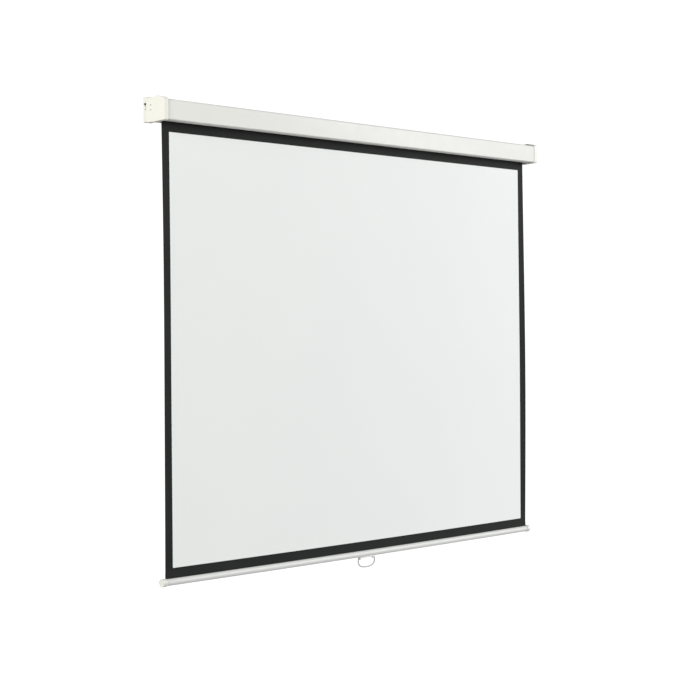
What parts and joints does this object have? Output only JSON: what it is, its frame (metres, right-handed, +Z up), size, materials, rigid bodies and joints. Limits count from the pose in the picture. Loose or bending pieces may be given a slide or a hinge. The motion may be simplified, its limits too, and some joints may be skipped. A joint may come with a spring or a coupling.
{
  "type": "projection screen",
  "caption": "Pull-down projection screen: a white case holds a spring roller, and its black-bordered white fabric hangs to a round bottom bar with a pull handle.",
  "frame": {"origin": "in the wall plane, midway between the two hangers and at half the height of the case", "axes": "+X along the screen to the right as a viewer sees it, +Y into the wall (the picture faces -Y), +Z up"},
  "size_m": [1.8274, 0.0963, 1.4683],
  "materials": {
    "case_paint": "white powder coat on sheet steel, satin",
    "cap_plastic": "moulded warm white plastic, fine grain",
    "hanger_paint": "white powder coat on folded steel",
    "bar_paint": "white gloss paint on steel tube",
    "plug_plastic": "moulded white plastic",
    "handle_paint": "white dipped wire",
    "plated_steel": "zinc plated",
    "spring_steel": "oiled spring wire",
    "grey_plastic": "moulded nylon",
    "black_fabric": "matt black coated cloth",
    "white_fabric": "matt white projection surface"
  },
  "bodies": {
    "case": {"case_shell": "case_paint", "left_end_cap": "cap_plastic", "right_end_cap": "cap_plastic", "left_hanger": "hanger_paint", "right_hanger": "hanger_paint", "left_bracket": "plated_steel", "right_bracket": "plated_steel", "left_cap_screw_upper": "hanger_paint", "right_cap_screw_upper": "hanger_paint", "left_cap_screw_lower": "hanger_paint", "right_cap_screw_lower": "hanger_paint", "left_hanger_screw_upper": "plated_steel", "right_hanger_screw_upper": "plated_steel", "left_hanger_screw_lower": "plated_steel", "right_hanger_screw_lower": "plated_steel", "spring_shaft": "plated_steel", "ratchet_collar": "plated_steel", "spring_anchor": "grey_plastic", "torsion_spring": "spring_steel", "shaft_clip": "spring_steel", "idle_bush": "grey_plastic", "backing_sheet": "black_fabric", "white_surface": "white_fabric"},
    "roller": {"roller_tube": "plated_steel", "fabric_wraps": "black_fabric", "spring_plug": "grey_plastic", "idle_plug": "grey_plastic", "idle_pin": "plated_steel", "pawl_rivet_a": "plated_steel", "pawl_rivet_b": "plated_steel"},
    "pawl_a": {"pawl_a": "plated_steel"},
    "pawl_b": {"pawl_b": "plated_steel"},
    "bar": {"bottom_bar": "bar_paint", "left_bar_plug": "plug_plastic", "right_bar_plug": "plug_plastic", "hem_band": "black_fabric", "spline_rod": "grey_plastic", "handle_base": "plug_plastic", "handle_screw_left": "plated_steel", "handle_screw_right": "plated_steel"},
    "handle": {"pull_handle": "handle_paint"}
  },
  "joints": [
    {"name": "bar_slide", "type": "slide", "parent": "case", "child": "bar", "axis": [0, 0, 1], "range_m": [0, 1.33], "deforming": ["backing_sheet", "white_surface"]},
    {"name": "roller_spin", "type": "hinge", "parent": "case", "child": "roller", "pos_m": [0, -0.0668, -0.001], "axis": [1, 0, 0], "range_deg": [0, 3960]},
    {"name": "pawl_a_swing", "type": "hinge", "parent": "roller", "child": "pawl_a", "pos_m": [-0.8953, -0.0668, 0.0105], "axis": [1, 0, 0], "range_deg": [-16, 0]},
    {"name": "pawl_b_swing", "type": "hinge", "parent": "roller", "child": "pawl_b", "pos_m": [-0.8953, -0.0668, -0.0125], "axis": [1, 0, 0], "range_deg": [-16, 0]},
    {"name": "handle_swing", "type": "hinge", "parent": "bar", "child": "handle", "pos_m": [0, -0.049, -1.3972], "axis": [1, 0, 0], "range_deg": [-75, 75]}
  ],
  "couplings": [
    {"joint": "roller_spin", "follows": "bar_slide", "rad_per_m": 51.966}
  ]
}
